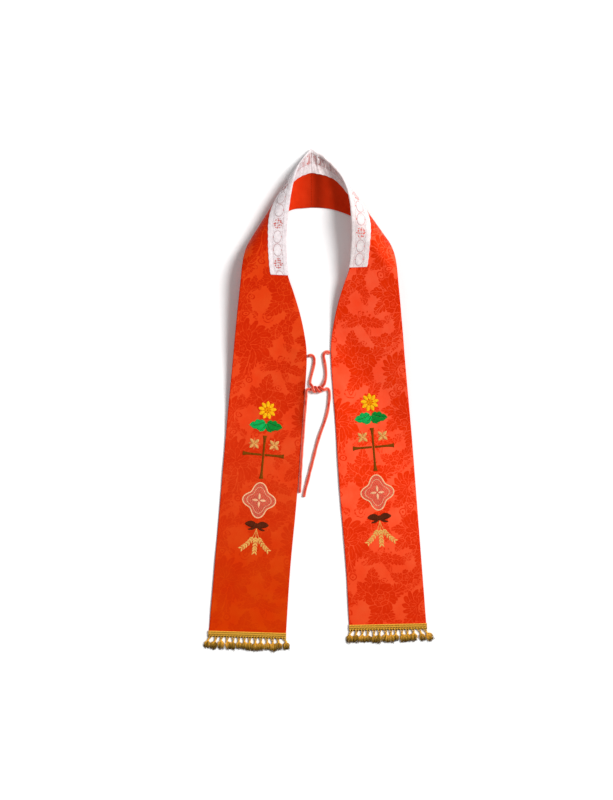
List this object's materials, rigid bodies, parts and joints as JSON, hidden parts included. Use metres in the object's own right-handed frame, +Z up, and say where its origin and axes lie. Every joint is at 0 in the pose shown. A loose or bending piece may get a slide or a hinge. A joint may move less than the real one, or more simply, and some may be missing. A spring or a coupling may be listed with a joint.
{
  "type": "clerical stole",
  "caption": "Priest's stole laid flat: two damask panels joined behind the neck, with a lace collar, front ties and tasselled hems.",
  "frame": {"origin": "on the surface it lies on, below the middle of its box, ties left out", "axes": "+X across, from the left panel in the picture to the right one; +Y from the hems to the neck; +Z up from the surface"},
  "size_m": [0.4703, 1.0567, 0.0618],
  "materials": {
    "damask": "satin",
    "lining": "matte",
    "lace": "matte",
    "gold_braid": "satin",
    "rouleau": "satin"
  },
  "bodies": {
    "root": {"face_left": "damask", "face_right": "damask", "lining_left": "lining", "lining_right": "lining", "lace_collar": "lace", "tie_left": "rouleau", "tie_right": "rouleau", "fringe_left": "gold_braid", "fringe_right": "gold_braid"}
  },
  "joints": []
}
